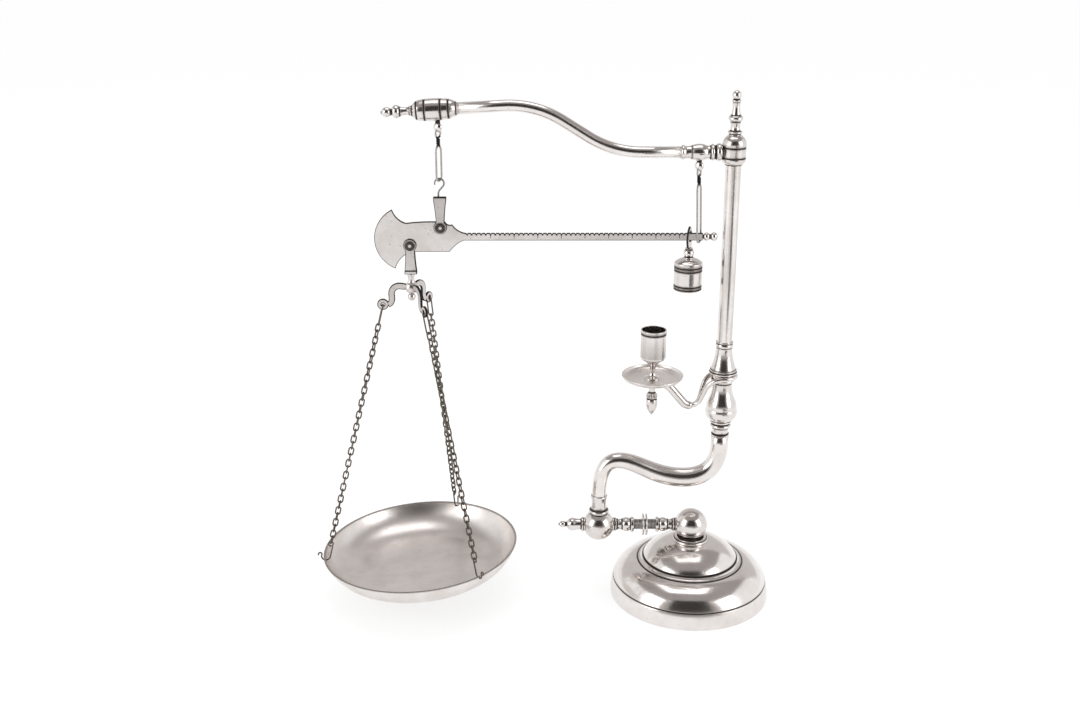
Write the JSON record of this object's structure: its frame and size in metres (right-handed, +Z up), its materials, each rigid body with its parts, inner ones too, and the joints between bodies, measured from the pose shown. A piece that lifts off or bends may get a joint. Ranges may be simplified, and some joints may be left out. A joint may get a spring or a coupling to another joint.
{
  "type": "single pan balance",
  "caption": "Table balance with a domed base, an S shaped tube, a column with a candle arm, and a notched beam with a sliding poise and a pan on chains.",
  "frame": {"origin": "centre of the base on the table", "axes": "+Z up, +X from the pan towards the column, +Y away from the viewer"},
  "size_m": [0.4445, 0.1916, 0.4972],
  "materials": {
    "silver": "polished silver plate",
    "worn_silver": "worn silver plate",
    "tarnished": "tarnished",
    "iron": "rough cast",
    "core_iron": "rough cast",
    "pad": "felt"
  },
  "bodies": {
    "base": {"base_pad": "pad", "base_dome": "silver", "base_loading": "iron", "base_stud": "worn_silver", "base_washer": "worn_silver", "base_nut": "worn_silver", "neck_collar": "silver", "base_ball": "silver", "right_shaft": "silver", "threaded_stud": "worn_silver"},
    "right_ring": {"lock_ring_right": "silver"},
    "left_ring": {"lock_ring_left": "silver"},
    "column": {"left_shaft": "silver", "elbow_ball": "silver", "foot_finial": "silver", "elbow_collar": "silver", "s_tube": "silver", "lower_collar": "silver", "pear_baluster": "silver", "cone_baluster": "silver", "column_collar": "silver", "column_tube": "silver"},
    "candle": {"candle_ring": "silver", "candle_arm": "silver", "candle_boss": "silver", "drip_pan": "silver", "candle_socket": "silver", "acorn_finial": "silver"},
    "arm": {"head_knob": "silver", "top_finial": "silver", "arm_root": "silver", "arm_rod": "silver", "arm_barrel": "silver", "arm_finial": "silver", "hook_eye": "silver", "stay_eye": "silver"},
    "link": {"suspension_link": "silver"},
    "shackle": {"shackle_hook": "worn_silver", "fulcrum_shackle": "silver", "fulcrum_pin": "worn_silver"},
    "beam": {"beam": "silver", "beam_finial": "silver", "load_pin": "worn_silver"},
    "load": {"load_shackle": "silver"},
    "pan_rig": {"spider_hub": "silver", "spider_arms": "worn_silver", "spider_finial": "worn_silver", "top_links": "worn_silver", "chain_left": "tarnished", "chain_front": "tarnished", "chain_back": "tarnished", "pan_hooks": "worn_silver", "pan": "silver"},
    "stay": {"stay_loop": "silver"},
    "runner": {"poise_hook": "silver"},
    "poise": {"poise_neck": "silver", "poise_body": "silver", "poise_core": "core_iron"}
  },
  "joints": [
    {"name": "right_ring_spin", "type": "hinge", "parent": "base", "child": "right_ring", "pos_m": [-0.0442, 0, 0.0735], "axis": [1, 0, 0], "continuous": true},
    {"name": "left_ring_spin", "type": "hinge", "parent": "base", "child": "left_ring", "pos_m": [-0.0475, 0, 0.0735], "axis": [1, 0, 0], "continuous": true},
    {"name": "levelling_turn", "type": "hinge", "parent": "base", "child": "column", "pos_m": [-0.06, 0, 0.0735], "axis": [1, 0, 0], "range_deg": [-5, 5]},
    {"name": "candle_swivel", "type": "hinge", "parent": "column", "child": "candle", "pos_m": [0.0242, 0, 0.233], "axis": [0, 0, 1], "continuous": true},
    {"name": "arm_swivel", "type": "hinge", "parent": "column", "child": "arm", "pos_m": [0.0242, 0, 0.431], "axis": [0, 0, 1], "continuous": true},
    {"name": "link_swing", "type": "hinge", "parent": "arm", "child": "link", "pos_m": [-0.2393, 0, 0.4627], "axis": [1, 0, 0], "range_deg": [-5, 5]},
    {"name": "hook_swing", "type": "hinge", "parent": "link", "child": "shackle", "pos_m": [-0.2393, 0, 0.41775], "axis": [0, -1, 0], "range_deg": [0, 0.5]},
    {"name": "beam_rock", "type": "hinge", "parent": "shackle", "child": "beam", "pos_m": [-0.2393, 0, 0.374], "axis": [0, -1, 0], "range_deg": [0, 3]},
    {"name": "load_swing", "type": "hinge", "parent": "beam", "child": "load", "pos_m": [-0.2675, 0, 0.3572], "axis": [0, 1, 0], "range_deg": [-6, 14]},
    {"name": "pan_swivel", "type": "hinge", "parent": "load", "child": "pan_rig", "pos_m": [-0.2675, 0, 0.331], "axis": [0, 0, 1], "continuous": true},
    {"name": "stay_swing", "type": "hinge", "parent": "arm", "child": "stay", "pos_m": [-0.0064, 0, 0.4281], "axis": [1, 0, 0], "range_deg": [-8, 8]},
    {"name": "poise_slide", "type": "slide", "parent": "beam", "child": "runner", "axis": [1, 0, 0], "range_m": [-0.195, 0]},
    {"name": "poise_swivel", "type": "hinge", "parent": "runner", "child": "poise", "pos_m": [-0.0126, 0, 0.35], "axis": [0, 0, 1], "continuous": true}
  ],
  "couplings": [
    {"joint": "stay_swing", "follows": "link_swing", "ratio": 1.53}
  ]
}
